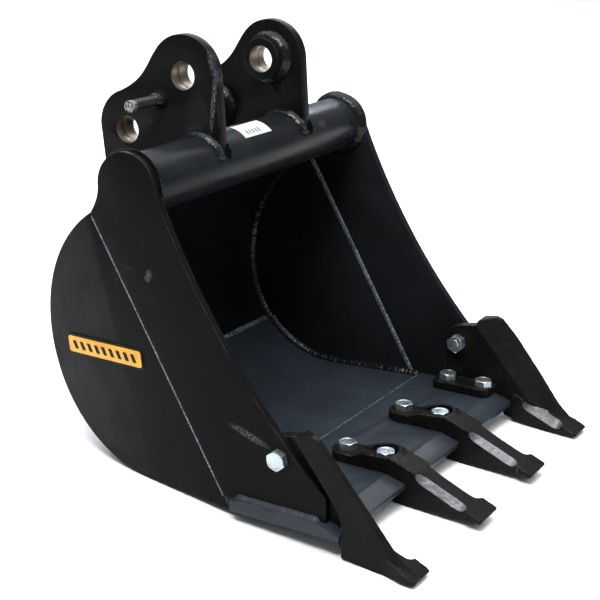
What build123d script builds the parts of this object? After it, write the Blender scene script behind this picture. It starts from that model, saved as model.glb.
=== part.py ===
"""Digging bucket for a small excavator: welded shell, hanger ears and bolt-on cast teeth.

Frame: origin on the stick-pin bore axis, midway between the ears. +X runs across the
bucket, -Y is forward towards the teeth and +Z is up. The bucket stands as it rests on
level ground, on its heel and the four tooth legs.

Side profiles are drawn in the bucket's own plane, where u points rearwards along the
floor plate and v points up from it. That plane leans by rest_tilt when the bucket rests,
and stick_pin is where the frame's origin lies in it.
"""

from math import cos, radians, sin, sqrt, tan
import os

from build123d import *

# ---- driving dimensions, millimetres and degrees ------------------------------------
bucket_width = 400.0
side_thickness = 8.0
rear_taper = 8.0  # inward lean of each rear side plate
rest_tilt = 3.9

stick_pin = (8.7, -2.5)
link_pin = (81.4, -63.5)
pin_bore_radius = 14.0
ear_thickness = 12.0
ear_gap = 144.0
boss_radius = 22.5
boss_length = 16.5

tube_centre = (-8.5, -91.5)
tube_radius = 30.15
tube_wall = 5.0
head_radius = 34.5

heel_centre = (-18.0, -265.0)
heel_radius = 129.0
back_radius = 157.0
heel_sweep = 70.0
back_sweep = 79.0
front_edge_radius = 750.0
wrapper_inset = 3.0
wrapper_thickness = 6.0
floor_thickness = 8.0
floor_end_sweep = 51.0

lip_rear = -126.0
lip_front = -247.0
lip_bevel_start = -226.0
lip_top = -380.0
lip_thickness = 12.0
lip_nose = 6.0
lip_overhang = 7.0

tooth_offset = 61.0
tooth_width = 32.0
corner_offset = 194.0
corner_width = 32.0
flange_thickness = 10.0
lip_bolt_rows = (-172.0, -216.0)
corner_bolt_offset = 170.0
side_bolt = (-178.5, -327.5)

bolt_radius = 6.0
bolt_hole_radius = 6.75
bolt_head_flats = 18.0
bolt_head_height = 7.5
nut_height = 10.5

stud_base = (38.8, -28.9)
stud_radius = 6.0
stud_length = 49.0
stud_neck_radius = 5.5
stud_neck_length = 12.5

badge_centre = (33.5, -264.5)
badge_length = 104.0
badge_height = 17.5
badge_slope = -2.9

bead = 5.0  # leg of an ordinary fillet weld
inside_bead = 7.0  # leg of the fillets inside the shell
past = 1.0  # how far a cutting tool runs past the material

# ---- derived places -----------------------------------------------------------------
half_width = bucket_width / 2
inner_face = half_width - side_thickness
ear_inner = ear_gap / 2
ear_outer = ear_inner + ear_thickness
lip_bottom = lip_top - lip_thickness
flange_top = lip_top + flange_thickness
heel_bottom = heel_centre[1] - heel_radius

# the back arc is tangent to the heel arc where the heel sweep ends
heel_out = (sin(radians(heel_sweep)), -cos(radians(heel_sweep)))
back_centre = (
    heel_centre[0] + (heel_radius - back_radius) * heel_out[0],
    heel_centre[1] + (heel_radius - back_radius) * heel_out[1],
)


def on_arc(centre, radius, sweep):
    """Point on an arc, with the sweep measured from straight down towards the rear."""
    return (
        centre[0] + radius * sin(radians(sweep)),
        centre[1] - radius * cos(radians(sweep)),
    )


neck = on_arc(back_centre, back_radius, heel_sweep + back_sweep)
fold_foot = (-121.5, heel_bottom)
fold_run = sqrt((neck[0] - fold_foot[0]) ** 2 + (neck[1] - fold_foot[1]) ** 2)
fold_along = ((fold_foot[0] - neck[0]) / fold_run, (fold_foot[1] - neck[1]) / fold_run)
fold_out = (-fold_along[1], fold_along[0])

# level of the ground the bucket rests on, from the lowest point of the heel arc
tilt_sin = sin(radians(rest_tilt))
tilt_cos = cos(radians(rest_tilt))
rest_level = heel_centre[1] * tilt_cos - heel_centre[0] * tilt_sin - heel_radius


def ground(u):
    """Height v of the ground under the point u of the bucket's own plane."""
    return (rest_level + u * tilt_sin) / tilt_cos


def lean(u, v):
    """Direction in the row frame of a direction in the bucket's own plane."""
    return (0, u * tilt_cos + v * tilt_sin, v * tilt_cos - u * tilt_sin)


def place(x, u, v):
    """Point of the row frame for x and a point of the bucket's own plane."""
    _, y, z = lean(u - stick_pin[0], v - stick_pin[1])
    return (x, y, z)


def side_on(x, point, facing=1):
    """Side plane at x with its own origin at a point, u rearwards, facing +X or -X."""
    return Plane(origin=place(x, *point), x_dir=lean(1, 0), z_dir=(facing, 0, 0))


def bucket_plane(x):
    """Plane of a side profile at x, u rearwards and v up, facing +X."""
    return side_on(x, (0, 0))


def level_plane(x, u, v):
    """Plane parallel to the lip at a point, its normal pointing up from the lip."""
    return Plane(origin=place(x, u, v), x_dir=(1, 0, 0), z_dir=lean(0, 1))


def cross_axis(u, v):
    """Axis along +X through a point of the bucket's own plane."""
    return Axis(place(0, u, v), (1, 0, 0))


def taper_plane(depth):
    """Left rear plate's plane, depth millimetres in from its outer face."""
    taper = radians(rear_taper)
    _, out_y, out_z = lean(*fold_out)
    return Plane(
        origin=place(-half_width + depth / cos(taper), *neck),
        x_dir=lean(*fold_along),
        z_dir=(-cos(taper), out_y * sin(taper), out_z * sin(taper)),
    )


def save(piece, name):
    """Label a finished piece and write it to its own STEP file."""
    piece.part.label = name
    export_step(piece.part, f"parts/{name}.step")


def twin(piece):
    """The same piece on the other side of the middle plane."""
    with BuildPart() as other:
        add(mirror(piece.part, about=Plane.YZ, mode=Mode.PRIVATE))
    return other


def hex_prism(plane, flats, height):
    """Hexagon standing on a plane."""
    with BuildPart(mode=Mode.PRIVATE) as prism:
        with BuildSketch(plane):
            RegularPolygon(flats / 2, 6, major_radius=False, rotation=30)
        extrude(amount=height)
    return prism.part


def circles_meet(centre_a, radius_a, centre_b, radius_b, side):
    """One of the two points where two circles cross, side being 1 or -1."""
    du = centre_b[0] - centre_a[0]
    dv = centre_b[1] - centre_a[1]
    apart = sqrt(du**2 + dv**2)
    along = (apart**2 + radius_a**2 - radius_b**2) / (2 * apart)
    off = side * sqrt(radius_a**2 - along**2)
    return (
        centre_a[0] + (along * du - off * dv) / apart,
        centre_a[1] + (along * dv + off * du) / apart,
    )


def ring_bead(x, centre, radius, leg, toward, start=0, arc=360):
    """Fillet bead around a round piece that stands on the plane x = constant.

    The bead starts at an angle from +u and turns towards +v.
    """
    turn = radians(start)
    plane = Plane(
        origin=place(x, *centre), x_dir=(1, 0, 0), z_dir=lean(-sin(turn), cos(turn))
    )
    with BuildPart(mode=Mode.PRIVATE) as ring:
        with BuildSketch(plane):
            Polygon((0, radius), (toward * leg, radius), (0, radius + leg), align=None)
        revolve(axis=cross_axis(*centre), revolution_arc=arc)
    return ring.part


os.makedirs("parts", exist_ok=True)

# ---- torsion tube -------------------------------------------------------------------
with BuildPart() as torsion_tube:
    with BuildSketch(bucket_plane(-inner_face)):
        with Locations(tube_centre):
            Circle(tube_radius)
            Circle(tube_radius - tube_wall, mode=Mode.SUBTRACT)
    extrude(amount=2 * inner_face)
save(torsion_tube, "torsion_tube")

# ---- side plates, parallel part, from the head down to the lip ----------------------
head_front = (tube_centre[0] - head_radius, tube_centre[1])
head_top = (tube_centre[0], tube_centre[1] + head_radius)
head_back = on_arc(tube_centre, head_radius, 86)
front_corner = (-229.0, -355.5)
with BuildPart() as left_side_plate:
    with BuildSketch(bucket_plane(-half_width)):
        with BuildLine():
            RadiusArc(front_corner, head_front, -front_edge_radius)
            ThreePointArc(head_front, head_top, head_back)
            Spline(head_back, neck, tangents=[(0.05, -1), (0.55, -0.84)])
            Polyline(
                neck,
                fold_foot,
                (lip_rear, heel_bottom),
                (lip_rear, lip_top),
                (front_corner[0], lip_top),
                front_corner,
            )
        make_face()
        with Locations(side_bolt):
            Circle(bolt_hole_radius, mode=Mode.SUBTRACT)
    extrude(amount=side_thickness)
save(left_side_plate, "left_side_plate")
save(twin(left_side_plate), "right_side_plate")

# ---- rear side plates, leaning inwards from the fold --------------------------------
heel_start = (heel_centre[0], heel_bottom)
taper_reach = 90.0  # depth of stock that the leaning plates are cut from
with BuildPart() as left_rear_plate:
    with BuildSketch(bucket_plane(-half_width - past)):
        with BuildLine():
            Line(neck, fold_foot)
            Line(fold_foot, heel_start)
            heel = JernArc(heel_start, (1, 0), heel_radius, heel_sweep)
            JernArc(heel @ 1, heel % 1, back_radius, back_sweep)
        make_face()
    extrude(amount=taper_reach)
    split(bisect_by=taper_plane(0), keep=Keep.BOTTOM)
    split(bisect_by=taper_plane(side_thickness), keep=Keep.TOP)
save(left_rear_plate, "left_rear_plate")
save(twin(left_rear_plate), "right_rear_plate")


def right_of(plane):
    """Mirror image of a left-hand plane, still facing outwards."""
    origin = plane.origin
    return Plane(
        origin=(-origin.X, origin.Y, origin.Z),
        x_dir=(0, plane.x_dir.Y, plane.x_dir.Z),
        z_dir=(-plane.z_dir.X, plane.z_dir.Y, plane.z_dir.Z),
    )


def shell_strip(outer_inset, thickness, sweep_from, sweep_to, lead):
    """Rolled plate between the side plates, with an optional flat lead to the lip."""
    inner_inset = outer_inset + thickness
    split_sweep = min(sweep_to, heel_sweep)
    with BuildPart() as strip:
        with BuildSketch(bucket_plane(-inner_face)):
            with BuildLine():
                start_out = on_arc(heel_centre, heel_radius - outer_inset, sweep_from)
                start_in = on_arc(heel_centre, heel_radius - inner_inset, sweep_from)
                if lead:
                    Line((lip_rear, start_out[1]), start_out)
                    Line((lip_rear, start_in[1]), start_in)
                    Line((lip_rear, start_out[1]), (lip_rear, start_in[1]))
                else:
                    Line(start_out, start_in)
                middle = (sweep_from + split_sweep) / 2
                for inset in (outer_inset, inner_inset):
                    radius = heel_radius - inset
                    ThreePointArc(
                        on_arc(heel_centre, radius, sweep_from),
                        on_arc(heel_centre, radius, middle),
                        on_arc(heel_centre, radius, split_sweep),
                    )
                if sweep_to > heel_sweep:
                    middle = (heel_sweep + sweep_to) / 2
                    for inset in (outer_inset, inner_inset):
                        radius = back_radius - inset
                        ThreePointArc(
                            on_arc(back_centre, radius, heel_sweep),
                            on_arc(back_centre, radius, middle),
                            on_arc(back_centre, radius, sweep_to),
                        )
                    Line(
                        on_arc(back_centre, back_radius - outer_inset, sweep_to),
                        on_arc(back_centre, back_radius - inner_inset, sweep_to),
                    )
                else:
                    Line(
                        on_arc(heel_centre, heel_radius - outer_inset, sweep_to),
                        on_arc(heel_centre, heel_radius - inner_inset, sweep_to),
                    )
            make_face()
        extrude(amount=2 * inner_face)
        left_wall = taper_plane(side_thickness)
        split(bisect_by=left_wall, keep=Keep.BOTTOM)
        split(bisect_by=right_of(left_wall), keep=Keep.BOTTOM)
        with BuildSketch(bucket_plane(-inner_face)):
            with Locations(tube_centre):
                Circle(tube_radius)
        extrude(amount=2 * inner_face, mode=Mode.SUBTRACT)
    return strip


# ---- floor plate and back wrapper ---------------------------------------------------
floor_plate = shell_strip(wrapper_inset, floor_thickness, 0, floor_end_sweep, lead=True)
save(floor_plate, "floor_plate")
under_tube = 10.0  # how much further the wrapper sweeps, to end under the tube
back_wrapper = shell_strip(
    wrapper_inset,
    wrapper_thickness,
    floor_end_sweep,
    heel_sweep + back_sweep + under_tube,
    lead=False,
)
save(back_wrapper, "back_wrapper")

# ---- cutting edge, a bevelled bar under the side plates -----------------------------
lip_outline = (
    (lip_rear, lip_bottom),
    (lip_rear, lip_top),
    (lip_bevel_start, lip_top),
    (lip_front, lip_bottom + lip_nose),
    (lip_front, lip_bottom),
)
lip_half = half_width + lip_overhang
lip_bolt_places = [
    (x, u)
    for x in (-corner_bolt_offset, -tooth_offset, tooth_offset, corner_bolt_offset)
    for u in lip_bolt_rows
]
with BuildPart() as cutting_edge:
    with BuildSketch(bucket_plane(-lip_half)):
        Polygon(*lip_outline, align=None)
    extrude(amount=2 * lip_half)
    with BuildSketch(level_plane(0, 0, lip_top + past)):
        with Locations(*lip_bolt_places):
            Circle(bolt_hole_radius)
    extrude(amount=-lip_thickness - 2 * past, mode=Mode.SUBTRACT)
save(cutting_edge, "cutting_edge")

# ---- hanger ears, split over the tube and the top of the wrapper --------------------
# their outline is drawn from the stick pin


def from_pin(point):
    """A point of the bucket's own plane, measured from the stick pin."""
    return (point[0] - stick_pin[0], point[1] - stick_pin[1])


ear_lobe = 41.0
lobe_front = on_arc((0, 0), ear_lobe, -95)
lobe_top = on_arc((0, 0), ear_lobe, 180)
lobe_shoulder = on_arc((0, 0), ear_lobe, 135)
ear_toe = (-46.0, -84.0)
ear_waist = (80.0, -21.0)
ear_corner = ((101.0, -36.0), (108.0, -58.0))
ear_heel = (104.0, -96.0)
ear_shoulder = (52.0, -2.0)
ear_toe_rear = (-44.0, -94.0)
foot_sweep = 118.0
seat_sweep = 160.0
seat_radius = back_radius - wrapper_inset
back_from_pin = from_pin(back_centre)
ear_foot = on_arc(back_from_pin, seat_radius, foot_sweep)
ear_seat = on_arc(back_from_pin, seat_radius, (foot_sweep + seat_sweep) / 2)
ear_seat_end = on_arc(back_from_pin, seat_radius, seat_sweep)
with BuildPart() as left_ear:
    with BuildSketch(side_on(-ear_outer, stick_pin)):
        with BuildLine():
            Line(ear_toe, lobe_front)
            ThreePointArc(lobe_front, lobe_top, lobe_shoulder)
            Spline(lobe_shoulder, ear_shoulder, ear_waist, tangents=[(0.7, -0.7), (0.9, -0.42)])
            ThreePointArc(ear_waist, *ear_corner)
            Polyline(ear_corner[1], ear_heel, ear_foot)
            ThreePointArc(ear_foot, ear_seat, ear_seat_end)
            Polyline(ear_seat_end, from_pin(tube_centre), ear_toe_rear, ear_toe)
        make_face()
        with Locations(from_pin(tube_centre)):
            Circle(tube_radius, mode=Mode.SUBTRACT)
        with Locations((0, 0), from_pin(link_pin)):
            Circle(pin_bore_radius, mode=Mode.SUBTRACT)
    extrude(amount=ear_thickness)
save(left_ear, "left_ear")
save(twin(left_ear), "right_ear")

# ---- pin bosses on the inner faces of the ears --------------------------------------
for boss_name, centre in (("stick_boss", stick_pin), ("link_boss", link_pin)):
    with BuildPart() as left_boss:
        with BuildSketch(bucket_plane(-ear_inner)):
            with Locations(centre):
                Circle(boss_radius)
                Circle(pin_bore_radius, mode=Mode.SUBTRACT)
        extrude(amount=boss_length)
    save(left_boss, f"left_{boss_name}")
    save(twin(left_boss), f"right_{boss_name}")

# ---- cast centre teeth, clamped over the lip by two bolts each ----------------------
tooth_top = (
    (-150.0, flange_top),
    (-186.0, flange_top),
    (-199.0, -364.5),
    (-230.0, -362.4),
    (-258.0, -372.3),
    (-313.0, -395.3),
    (-332.5, -403.5),
)
tooth_tip_low = (-329.5, -407.5)
leg_front = -249.0
leg_rear = -229.0
leg_hook = 2.0
leg_toe_rise = 3.0
tip_flare = 3.0
tip_low = ((-315.0, -396.2), (-315.0, -405.5))
groove_depth = 2.0
groove = ((-262, -378), (-312, -399), (-312, -402), (-262, -381))
pocket_radius = 13.0
pocket_slot = 14.0
tooth_stock = 200.0  # longer and taller than any tooth
with BuildPart() as left_centre_tooth:
    with BuildSketch(bucket_plane(-tooth_offset - tooth_width / 2)):
        Polygon(
            *tooth_top,
            tooth_tip_low,
            (leg_front, ground(leg_front)),
            (leg_rear, ground(leg_front) + leg_toe_rise),
            (leg_rear + leg_hook, lip_bottom),
            (leg_rear + leg_hook, lip_top),
            (-150.0, lip_top),
            align=None,
        )
    extrude(amount=tooth_width)
    with BuildSketch(bucket_plane(-tooth_offset - tooth_width / 2 - tip_flare)):
        Polygon(tip_low[0], tooth_top[-1], tooth_tip_low, tip_low[1], align=None)
    extrude(amount=tooth_width + 2 * tip_flare)
    with BuildSketch(level_plane(-tooth_offset, 0, lip_top - tooth_stock / 2)):
        with Locations((0, lip_bolt_rows[0])):
            Circle(tooth_width / 2)
            Rectangle(2 * tooth_width, tooth_stock, align=(Align.CENTER, Align.MAX))
    extrude(amount=tooth_stock, mode=Mode.INTERSECT)
    for groove_x in (-tooth_width / 2, tooth_width / 2 - groove_depth):
        with BuildSketch(bucket_plane(groove_x - tooth_offset)):
            Polygon(*groove, align=None)
        extrude(amount=groove_depth, mode=Mode.SUBTRACT)
    with BuildSketch(bucket_plane(-tooth_offset - tooth_width)):
        Polygon(*lip_outline, align=None)
    extrude(amount=2 * tooth_width, mode=Mode.SUBTRACT)
    with BuildSketch(level_plane(-tooth_offset, 0, flange_top)):
        with Locations((0, lip_bolt_rows[1])):
            Circle(pocket_radius)
            Rectangle(pocket_slot, tooth_width, align=(Align.CENTER, Align.MIN))
    extrude(amount=tooth_width, mode=Mode.SUBTRACT)
    with BuildSketch(level_plane(-tooth_offset, 0, flange_top + past)):
        with Locations(*[(0, u) for u in lip_bolt_rows]):
            Circle(bolt_hole_radius)
    extrude(amount=-flange_thickness - 2 * past, mode=Mode.SUBTRACT)
save(left_centre_tooth, "left_centre_tooth")
save(twin(left_centre_tooth), "right_centre_tooth")

# ---- cast corner teeth: lip flange, flank inside the side plate, block ahead of it --
flank_thickness = 12.0
flank_inner = inner_face - flank_thickness
corner_outer = half_width + 4.5
flank_rear = ((-163.0, lip_top), (-163.0, -318.0), (-173.0, -308.0), (-199.0, -303.0))
flank_foot = ((-230.0, lip_bottom), (-230.0, lip_top))
corner_top = (
    (-201.0, -298.0),
    (-216.0, -295.5),
    (-223.0, -297.6),
    (-241.6, -316.6),
    (-268.0, -349.5),
    (-297.5, -388.0),
    (-312.0, -401.0),
)
corner_tip = ((-328.0, -409.5), (-325.5, -412.5))
corner_leg = -286.0
nose_low = (
    *corner_tip,
    (corner_leg, ground(corner_leg)),
    (-262.0, ground(corner_leg) + 2.5),
    (-240.0, -405.0),
)
block_foot = (-248.5, -408.0)
nose_top = ((-250.0, -376.0), (-312.0, -402.0))
nose_foot = (-250.0, -408.0)
corner_flange = (72.0, 70.0)
corner_flange_round = 8.0
corner_flange_middle = -192.0
# the side plate's corner as the tooth straddles it
plate_slot = ((-150, -385), (-150, -290), (-190, -290), (-246, -365), (-246, -385))
block_rear = ((-248.5, -376.0), (-246.6, -369.3), (-231.6, -353.7), (-194.0, -306.0))
# the block's inner face slopes outwards from this ridge to a narrow front edge
ridge = ((-199.0, -303.0), (-244.5, -354.4))
bevel_front = (-261.0, -338.6)
ridge_start = Vector(place(-flank_inner, *ridge[0]))
ridge_end = Vector(place(-flank_inner, *ridge[1]))
bevel_out = Vector(place(-half_width, *bevel_front))
flank_bevel = Plane(
    origin=ridge_start,
    x_dir=ridge_end - ridge_start,
    z_dir=(ridge_end - ridge_start).cross(bevel_out - ridge_start),
)
with BuildPart() as left_corner_tooth:
    with BuildSketch(bucket_plane(-inner_face)):
        Polygon(
            *flank_rear,
            *corner_top,
            *nose_low,
            *flank_foot,
            align=None,
        )
    extrude(amount=flank_thickness)
    with BuildSketch(bucket_plane(-corner_outer)):
        Polygon(
            *corner_top,
            *nose_low[:-1],
            block_foot,
            *block_rear,
            align=None,
        )
    extrude(amount=corner_outer - inner_face)
    split(bisect_by=flank_bevel, keep=Keep.TOP)
    with BuildSketch(bucket_plane(-corner_offset - corner_width / 2)):
        Polygon(
            *nose_top,
            *nose_low[:-1],
            nose_foot,
            align=None,
        )
    extrude(amount=corner_width)
    with BuildSketch(level_plane(0, 0, lip_top)):
        with Locations((-inner_face, corner_flange_middle)):
            RectangleRounded(*corner_flange, corner_flange_round)
    extrude(amount=flange_thickness)
    with BuildSketch(bucket_plane(-half_width)):
        Polygon(*plate_slot, align=None)
    extrude(amount=side_thickness, mode=Mode.SUBTRACT)
    with BuildSketch(bucket_plane(-half_width - corner_flange[0])):
        Polygon(*plate_slot, align=None)
    extrude(amount=corner_flange[0], mode=Mode.SUBTRACT)
    with BuildSketch(bucket_plane(-lip_half)):
        Polygon(*lip_outline, align=None)
    extrude(amount=2 * corner_flange[0], mode=Mode.SUBTRACT)
    with BuildSketch(level_plane(0, 0, flange_top + past)):
        with Locations(*[(-corner_bolt_offset, u) for u in lip_bolt_rows]):
            Circle(bolt_hole_radius)
    extrude(amount=-flange_thickness - 2 * past, mode=Mode.SUBTRACT)
    with BuildSketch(bucket_plane(-inner_face)):
        with Locations(side_bolt):
            Circle(bolt_hole_radius)
    extrude(amount=flank_thickness, mode=Mode.SUBTRACT)
save(left_corner_tooth, "left_corner_tooth")
save(twin(left_corner_tooth), "right_corner_tooth")

# ---- lip bolts and nuts -------------------------------------------------------------
bolt_tail = 1.0
with BuildPart() as lip_bolts:
    for x, u in lip_bolt_places:
        add(hex_prism(level_plane(x, u, flange_top), bolt_head_flats, bolt_head_height))
        with BuildSketch(level_plane(x, u, flange_top)):
            Circle(bolt_radius)
        extrude(amount=-(flange_thickness + lip_thickness + nut_height + bolt_tail))
save(lip_bolts, "lip_bolts")

with BuildPart() as lip_nuts:
    for x, u in lip_bolt_places:
        add(hex_prism(level_plane(x, u, lip_bottom - nut_height), bolt_head_flats, nut_height))
        with BuildSketch(level_plane(x, u, lip_bottom)):
            Circle(bolt_radius)
        extrude(amount=-nut_height, mode=Mode.SUBTRACT)
save(lip_nuts, "lip_nuts")

# ---- side bolts and nuts through the side plates and the corner teeth ---------------
side_grip = side_thickness + flank_thickness
with BuildPart() as left_side_bolt:
    head_plane = side_on(-half_width - bolt_head_height, side_bolt)
    add(hex_prism(head_plane, bolt_head_flats, bolt_head_height))
    with BuildSketch(bucket_plane(-half_width)):
        with Locations(side_bolt):
            Circle(bolt_radius)
    extrude(amount=side_grip + nut_height + bolt_tail)
with BuildPart() as side_bolts:
    add(left_side_bolt.part)
    add(mirror(left_side_bolt.part, about=Plane.YZ, mode=Mode.PRIVATE))
save(side_bolts, "side_bolts")

with BuildPart() as left_side_nut:
    nut_plane = side_on(-flank_inner, side_bolt)
    add(hex_prism(nut_plane, bolt_head_flats, nut_height))
    with BuildSketch(nut_plane):
        Circle(bolt_radius)
    extrude(amount=nut_height, mode=Mode.SUBTRACT)
with BuildPart() as side_nuts:
    add(left_side_nut.part)
    add(mirror(left_side_nut.part, about=Plane.YZ, mode=Mode.PRIVATE))
save(side_nuts, "side_nuts")

# ---- pin-keeper stud on the outer face of the left ear ------------------------------
stud_plane = side_on(-ear_outer, stud_base, facing=-1)
with BuildPart() as keeper_stud:
    with BuildSketch(stud_plane):
        Circle(stud_neck_radius)
    extrude(amount=stud_neck_length)
    with BuildSketch(stud_plane.offset(stud_neck_length)):
        Circle(stud_radius)
    extrude(amount=stud_length - stud_neck_length)
save(keeper_stud, "keeper_stud")

# ---- badge on the left rear plate, and the label on the tube ------------------------
badge_out = (badge_centre[0] - neck[0]) * fold_out[0] + (badge_centre[1] - neck[1]) * fold_out[1]
badge_run = (cos(radians(badge_slope)), sin(radians(badge_slope)))
badge_lean = tan(radians(rear_taper))
_, badge_y, badge_z = lean(*badge_run)
badge_plane = Plane(
    origin=place(-half_width + badge_out * badge_lean, *badge_centre),
    x_dir=(badge_lean * (badge_run[0] * fold_out[0] + badge_run[1] * fold_out[1]), badge_y, badge_z),
    z_dir=taper_plane(0).z_dir,
)
badge_thickness = 1.0
badge_round = 3.0
backing_margin = (3.0, 5.0)
with BuildPart() as badge_backing:
    with BuildSketch(badge_plane):
        RectangleRounded(
            badge_length + backing_margin[0], badge_height + backing_margin[1], badge_round
        )
    extrude(amount=badge_thickness)
save(badge_backing, "badge_backing")
with BuildPart() as badge_plate:
    with BuildSketch(badge_plane.offset(badge_thickness)):
        RectangleRounded(badge_length, badge_height, badge_round)
    extrude(amount=badge_thickness)
save(badge_plate, "badge_plate")

label_span = (-30.0, 18.0)
label_start = 92.0  # measured from the tube's rear, over its top
label_arc = 43.0
label_reach = tube_radius + 0.3
label_turn = radians(label_start)
with BuildPart() as tube_label:
    with BuildSketch(
        Plane(
            origin=place(0, *tube_centre),
            x_dir=(1, 0, 0),
            z_dir=lean(-sin(label_turn), cos(label_turn)),
        )
    ):
        Polygon(
            (label_span[0], tube_radius),
            (label_span[1], tube_radius),
            (label_span[1], label_reach),
            (label_span[0], label_reach),
            align=None,
        )
    revolve(axis=cross_axis(*tube_centre), revolution_arc=label_arc)
save(tube_label, "tube_label")

# ---- welds --------------------------------------------------------------------------
tube_bead = 4.0
tube_bead_span = (-40.0, 225.0)
foot_bead_arc = 38.0
with BuildPart() as tube_end_welds:
    add(ring_bead(-inner_face, tube_centre, tube_radius, tube_bead, 1))
    add(ring_bead(inner_face, tube_centre, tube_radius, tube_bead, -1))
    add(back_wrapper.part, mode=Mode.SUBTRACT)
save(tube_end_welds, "tube_end_welds")

with BuildPart() as ear_tube_welds:
    for side in (-1, 1):
        for x, toward in ((side * ear_inner, -side), (side * ear_outer, side)):
            add(ring_bead(x, tube_centre, tube_radius, bead, toward, *tube_bead_span))
    add(back_wrapper.part, mode=Mode.SUBTRACT)
save(ear_tube_welds, "ear_tube_welds")

with BuildPart() as ear_wrapper_welds:
    for side in (-1, 1):
        for x, toward in ((side * ear_inner, -side), (side * ear_outer, side)):
            foot_bead = (bead, toward, foot_sweep - 90, foot_bead_arc)
            add(ring_bead(x, back_centre, seat_radius, *foot_bead))
    add(torsion_tube.part, mode=Mode.SUBTRACT)
    add(ear_tube_welds.part, mode=Mode.SUBTRACT)
save(ear_wrapper_welds, "ear_wrapper_welds")

with BuildPart() as boss_welds:
    for side in (-1, 1):
        for centre in (stick_pin, link_pin):
            add(ring_bead(side * ear_inner, centre, boss_radius, bead, -side))
save(boss_welds, "boss_welds")

collar_height = 12.0
collar_taper = 20.0
with BuildPart() as stud_weld:
    with BuildSketch(stud_plane):
        Circle(stud_radius + bead)
    extrude(amount=collar_height, taper=collar_taper)
    with BuildSketch(stud_plane):
        Circle(stud_neck_radius)
    extrude(amount=collar_height, mode=Mode.SUBTRACT)
save(stud_weld, "stud_weld")

ledge_gap = 2.0
with BuildPart() as ledge_welds:
    for side in (-1, 1):
        ledge_plane = Plane(
            origin=place(side * half_width, lip_rear - ledge_gap, lip_top),
            x_dir=(side, 0, 0),
            z_dir=lean(-1, 0),
        )
        rise = bead if ledge_plane.y_dir.Z > 0 else -bead
        with BuildSketch(ledge_plane):
            Polygon((0, 0), (bead + 1, 0), (0, rise), align=None)
        extrude(amount=lip_rear - lip_bevel_start - 2 * ledge_gap)
save(ledge_welds, "ledge_welds")

# fillets along the inside corners between the rolled plates and the side plates
with BuildPart() as left_inside_weld:
    add(
        shell_strip(
            wrapper_inset + floor_thickness, inside_bead, 0, floor_end_sweep, lead=True
        ).part
    )
    add(
        shell_strip(
            wrapper_inset + wrapper_thickness,
            inside_bead,
            floor_end_sweep,
            heel_sweep + back_sweep,
            lead=False,
        ).part
    )
    split(bisect_by=taper_plane(side_thickness + inside_bead), keep=Keep.TOP)
    add(left_side_plate.part, mode=Mode.SUBTRACT)
    add(cutting_edge.part, mode=Mode.SUBTRACT)
with BuildPart() as inside_corner_welds:
    add(left_inside_weld.part)
    add(mirror(left_inside_weld.part, about=Plane.YZ, mode=Mode.PRIVATE))
save(inside_corner_welds, "inside_corner_welds")

# low beads over the fold seams, on the inner faces of the side plates
seam_half = 3.0
seam_rise = 1.6
seam_start = 12.0  # below the neck
with BuildPart() as left_fold_weld:
    with BuildSketch(bucket_plane(-inner_face)):
        Polygon(
            *[
                (
                    neck[0] + fold_along[0] * run + fold_out[0] * off,
                    neck[1] + fold_along[1] * run + fold_out[1] * off,
                )
                for run, off in (
                    (seam_start, -seam_half),
                    (seam_start, seam_half),
                    (fold_run, seam_half),
                    (fold_run, -seam_half),
                )
            ],
            align=None,
        )
    extrude(amount=seam_rise)
    for neighbour in (left_rear_plate, back_wrapper, floor_plate, inside_corner_welds):
        add(neighbour.part, mode=Mode.SUBTRACT)
with BuildPart() as fold_welds:
    add(left_fold_weld.part)
    add(mirror(left_fold_weld.part, about=Plane.YZ, mode=Mode.PRIVATE))
save(fold_welds, "fold_welds")

# cross seams: floor to wrapper, floor to lip, and wrapper to tube inside and outside
floor_top = heel_bottom + wrapper_inset + floor_thickness
inner_meet = circles_meet(
    tube_centre, tube_radius, back_centre, seat_radius - wrapper_thickness, 1
)
outer_meet = circles_meet(tube_centre, tube_radius, back_centre, seat_radius, 1)
seam_inset = wrapper_inset + wrapper_thickness
seam_ends = inner_face - inside_bead - 24
step_width = 5.0
heel_seam_arc = 3.0
heel_seam_rise = 2.0
with BuildPart() as cross_welds:
    with BuildSketch(bucket_plane(-seam_ends)):
        Polygon(
            on_arc(heel_centre, heel_radius - seam_inset, floor_end_sweep),
            on_arc(heel_centre, heel_radius - seam_inset - heel_seam_rise, floor_end_sweep),
            on_arc(heel_centre, heel_radius - seam_inset, floor_end_sweep + heel_seam_arc),
            align=None,
        )
        Polygon(
            (lip_rear, floor_top),
            (lip_rear, lip_top),
            (lip_rear + step_width, floor_top),
            align=None,
        )
        with Locations(inner_meet, outer_meet):
            Circle(bead)
    extrude(amount=2 * seam_ends)
    for neighbour in (back_wrapper, torsion_tube, left_ear):
        add(neighbour.part, mode=Mode.SUBTRACT)
    add(mirror(left_ear.part, about=Plane.YZ, mode=Mode.PRIVATE), mode=Mode.SUBTRACT)
    add(ear_tube_welds.part, mode=Mode.SUBTRACT)
    add(ear_wrapper_welds.part, mode=Mode.SUBTRACT)
save(cross_welds, "cross_welds")
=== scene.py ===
import bpy
import math
from mathutils import Matrix, Vector, noise


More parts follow.
